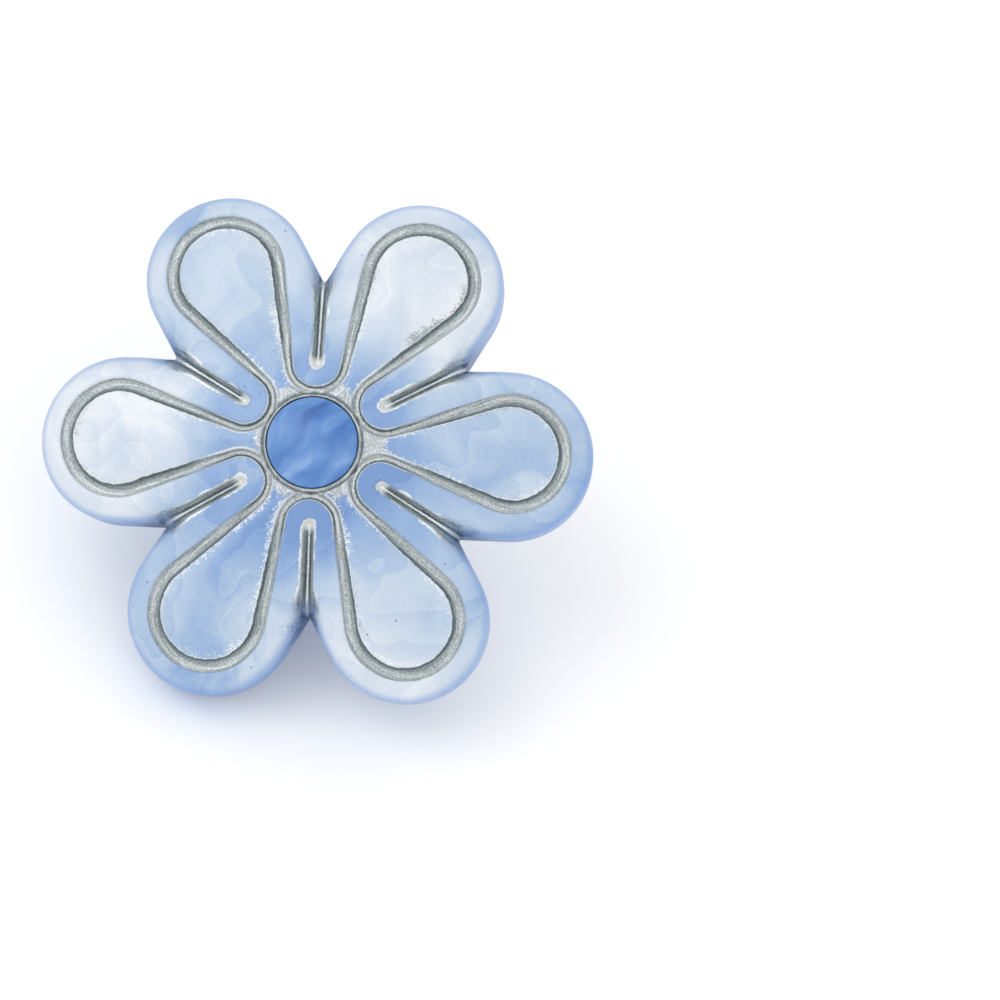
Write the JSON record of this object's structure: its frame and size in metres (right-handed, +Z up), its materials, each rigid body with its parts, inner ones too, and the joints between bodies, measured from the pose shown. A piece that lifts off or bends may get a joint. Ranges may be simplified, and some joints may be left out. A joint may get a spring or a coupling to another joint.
{
  "type": "clip on earring",
  "caption": "Flower-shaped clip-on earring of cast resin, with a domed button in its middle and a sprung metal paddle clip on its back.",
  "frame": {"origin": "middle of the footprint, on the surface that the earring stands on", "axes": "+Z up; the flower's face looks towards -Y and up, its clip is behind it towards +Y, and the clip's hinge runs along X"},
  "size_m": [0.031, 0.0261, 0.0216],
  "materials": {
    "pearl_resin": "satin pearl",
    "deep_blue_resin": "polished",
    "plated_steel": "bright plated"
  },
  "bodies": {
    "flower_body": {"flower": "pearl_resin", "centre_button": "deep_blue_resin", "clip_base": "plated_steel", "clip_spring": "plated_steel"},
    "paddle_body": {"clip_paddle": "plated_steel"}
  },
  "joints": [
    {"name": "clip_hinge", "type": "hinge", "parent": "flower_body", "child": "paddle_body", "pos_m": [0, 0.00114, 0.0022], "axis": [-1, 0, 0], "range_deg": [0, 75], "stiffness_Nm_per_rad": 0.0002, "springref_deg": -28.65}
  ]
}
